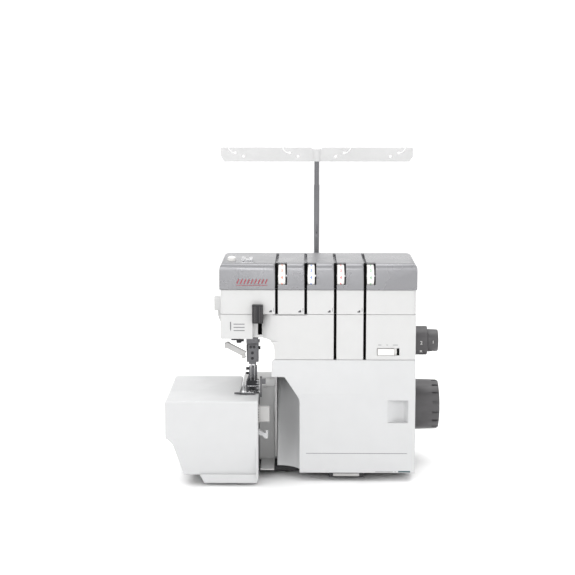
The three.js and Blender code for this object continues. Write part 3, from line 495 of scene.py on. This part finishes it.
def presser_foot_details():
    """The spring, the hinge pin, the dome, the stitch finger and the clamp screws of the presser foot."""
    coil = [spring_point(step) for step in range(SPRING_STEPS)]
    tube("foot_spring", coil, 0.42, looks["bright_steel"], "presser_bar")

    def chrome(bm):
        add_rod(bm, (-75.6, -84.5, 113), (-59.6, -84.5, 113), 1.5, 16)
        add_rod(bm, (-70, -113.4, SOLE + 0.1), (-70, -113.4, 111.3), 1.6, 16)
        add_block(bm, (-79.4, -115.6, SOLE), (-64.5, -108, 110.2))
        add_rod(bm, (-77.4, -99, SOLE), (-77.4, -99, 119.5), 0.8, 12)
        add_block(bm, (-78.2, -112, SOLE), (-76.4, -98, 111.2))
        add_rod(bm, (-73.4, -91.8, 112.4), (-61.8, -91.8, 112.4), 1.0, 14)

    piece("foot_fittings", mesh_from("foot_fittings", chrome), looks["bright_steel"], "presser_bar")

    def dark(bm):
        add_rod(bm, (-67.6, -92.6, 116.6), (-67.6, -90.2, 116.6), 6.4, 32)
        for z, radius in ((132.5, 1.9), (126.6, 1.5)):
            add_rod(bm, (-75.4, -81, z), (-71.4, -81, z), radius, 16)

    dome = mesh_from("foot_dome_and_screws", dark)
    piece("foot_dome_and_screws", dome, looks["dark_plastic"], "presser_bar")


CLAMP_SOCKETS = ((-68.6, 164.4), (-64.4, 164.4), (-66.5, 157), (-66.5, 150.2))  # X and Z


def needle_clamp_details():
    """The clamp's face plate, its screws and their sockets, and the collar above it."""
    plate = [((-70.9, -104.25, 146.4), (-61.9, -104.0, 166.6))]
    blocks("clamp_face_plate", plate, looks["dark_steel"], "needle_bar")

    def build(bm):
        for x, z in CLAMP_SOCKETS:
            add_rod(bm, (x, -105.6, z), (x, -104.2, z), 1.75, 16)
        add_block(bm, (-73.8, -104.6, 160), (-72.2, -103, 167.4))
        add_rod(bm, (-59, -97, 162), (-56.8, -97, 162), 2.2, 16)

    piece("clamp_screws", mesh_from("clamp_screws", build), looks["dark_plastic"], "needle_bar")
    collar = [((-74, -104, 168.4), (-59.4, -92.5, 175.4)), ((-59.6, -100, 169), (-57.4, -95, 172.4))]
    blocks("needle_bar_collar", collar, looks["dark_steel"], "needle_bar")


def head_details():
    """Black sheets of painted shade inside the threader's slot, the ribs on its lever in a lighter plastic
    that is partly a painted highlight, the arm's hook block and stops, and the strip below.
    """
    # painted shade: thin black sheets that make the inside of the threader's slot read dark
    inside = [
        ((-61, -92.6, 179.3), (-53, -92.2, 206)),
        ((-60, -102.2, 179.15), (-54, -92.6, 179.3)),
        ((-59.6, -104.9, 180), (-59.48, -102.5, 205)),
        ((-54.72, -104.9, 180), (-54.6, -102.5, 205)),
    ]
    blocks("threader_slot_painted_shade", inside, looks["painted_shade_black"], "frame")
    # the raised ribs are real, but their lighter grey plastic is a painted highlight on the black lever
    ribs = [((x, -122.9, 198), (x + 0.7, -122.4, 218)) for x in (-65.4, -63.6, -61.8, -57.2, -55.4)]
    blocks("threader_lever_ribs_and_highlights", ribs, looks["knob_plastic"], "threader_lever")
    strip = [
        ((-92, -113.6, 174.3), (-76.5, -108.3, 176.2)),
        ((-80, -113.6, 172.9), (-76.5, -111, 174.5)),
    ]
    blocks("head_floor_strip", strip, looks["dark_plastic"], "frame")
    hook = [((-79.5, -106.6, 150.6), (-75.2, -99.6, 155.4)), ((-75.6, -104.6, 151.4), (-74.2, -103.4, 152.6))]
    blocks("threader_hook_block", hook, looks["grey_plastic"], "threader_arm")
    rails = [((-100, -106.15, z), (-99.2, -98, z + 0.8)) for z in (163.2, 168.4)]
    blocks("threader_arm_stops", rails, looks["dark_steel"], "threader_arm")


def release_button_ridges():
    """Thumb ridges on the cloth plate's release button."""
    ridges = [((-63.2, -140.1, z), (-57.6, -139.7, z + 0.9)) for z in (81, 84.2, 87.4, 90.6, 93.8)]
    blocks("release_button_ridges", ridges, looks["knob_plastic"], "cloth_plate_release")


def cover_foot_plate():
    """The dark catch plate below the looper cover, with its grey insert."""
    plate = [((27.5, -120.4, 5), (70.4, -117.6, 10.6))]
    blocks("cover_foot_plate", plate, looks["dark_plastic"], "looper_cover")
    insert = [((33, -120.7, 6), (65, -120.3, 9.4))]
    blocks("cover_foot_insert", insert, looks["grey_plastic"], "looper_cover")


CASING_BACK = 35  # Y of the rear casing's outer face
CASING_SCREWS = ((-92, 240), (118, 240), (118, 24), (-28, 24))  # X and Z


def casing_back_details():
    """Dark screw heads in the back of the casing, and a plain plate with nothing on it."""

    def build(bm):
        for x, z in CASING_SCREWS:
            add_rod(bm, (x, CASING_BACK - 0.4, z), (x, CASING_BACK + 0.4, z), 3.4, 20)

    piece("casing_screws", mesh_from("casing_screws", build), looks["dark_steel"], "frame")
    plate = [((-20, CASING_BACK, 60), (24, CASING_BACK + 0.15, 86))]
    blocks("blank_rating_plate", plate, looks["grey_plastic"], "frame")


presser_foot_details()
needle_clamp_details()
head_details()
release_button_ridges()
cover_foot_plate()
casing_back_details()

# ---------------------------------------------------------------- stage, light and camera


FLOOR_SIZE, FLOOR_DROP = 12, 0.0004  # it lies just below the feet
FLOOR_COLOUR = (0.99, 0.99, 0.99, 1)


def stage():
    bpy.ops.mesh.primitive_plane_add(size=FLOOR_SIZE, location=(0, 2, -FLOOR_DROP))
    floor = bpy.context.object
    floor.name = "floor"
    material, tree, shader = new_material("floor")
    shader.inputs["Base Color"].default_value = FLOOR_COLOUR
    tree.links.new(spread(tree, noise(tree, 3), 0.3, 0.4), shader.inputs["Roughness"])
    floor.data.materials.append(material)


LIGHTS = (  # name, place, target, size, power in watts
    ("overhead", (0, 0.2, 1.9), (0, 0, 0.1), (2.4, 1.6), 26),
    ("front_left", (-1.6, -1.8, 1.3), (0, 0, 0.15), (1.2, 1.2), 11),
    ("front", (-0.3, -2.4, 0.9), (0, 0, 0.12), (1.0, 0.7), 11),
    ("front_right", (1.7, -1.6, 1.0), (0, 0, 0.15), (1.0, 1.2), 5),
)


def area_light(name, place, target, size, power):
    light = bpy.data.lights.new(name, "AREA")
    light.shape = "RECTANGLE"
    light.size, light.size_y = size
    light.energy = power
    object_ = bpy.data.objects.new(name, light)
    object_.location = place
    object_.rotation_euler = (Vector(target) - Vector(place)).to_track_quat("-Z", "Y").to_euler()
    bpy.context.scene.collection.objects.link(object_)


WORLD_STRENGTH = 1.15
SIDE_STRENGTH = 0.9
SIDES_START, SIDES_FULL = 0.5, 0.8  # how far sideways a direction points where the dimming starts and ends


def studio_world():
    """An even white room that is dimmer to the left and the right."""
    world = bpy.data.worlds.new("studio")
    world.use_nodes = True
    tree = world.node_tree
    background = tree.nodes["Background"]
    background.inputs["Color"].default_value = (1, 1, 1, 1)
    direction = tree.nodes.new("ShaderNodeTexCoord")
    split = tree.nodes.new("ShaderNodeSeparateXYZ")
    sideways = tree.nodes.new("ShaderNodeMath")
    sideways.operation = "ABSOLUTE"
    dim = tree.nodes.new("ShaderNodeMapRange")
    dim.interpolation_type = "SMOOTHSTEP"
    dim.inputs["From Min"].default_value = SIDES_START
    dim.inputs["From Max"].default_value = SIDES_FULL
    dim.inputs["To Min"].default_value = WORLD_STRENGTH
    dim.inputs["To Max"].default_value = SIDE_STRENGTH
    tree.links.new(direction.outputs["Generated"], split.inputs["Vector"])
    tree.links.new(split.outputs["X"], sideways.inputs[0])
    tree.links.new(sideways.outputs["Value"], dim.inputs["Value"])
    tree.links.new(dim.outputs["Result"], background.inputs["Strength"])
    bpy.context.scene.world = world


LENS, SENSOR = 90.2, 36
CAMERA = Vector((0.0, -1.838, 0.512))
PITCH, YAW = math.radians(8.97), math.radians(0.775)


def set_camera():
    """A camera in front of the machine, pitched a little down, with no lens shift."""
    camera_data = bpy.data.cameras.new("camera")
    camera_data.lens = LENS
    camera_data.sensor_width = SENSOR
    camera = bpy.data.objects.new("camera", camera_data)
    camera.location = CAMERA
    camera.rotation_euler = (math.pi / 2 - PITCH, 0, YAW)
    bpy.context.scene.collection.objects.link(camera)
    bpy.context.scene.camera = camera


stage()
for light_row in LIGHTS:
    area_light(*light_row)
studio_world()
bpy.context.scene.view_settings.view_transform = "Standard"
set_camera()
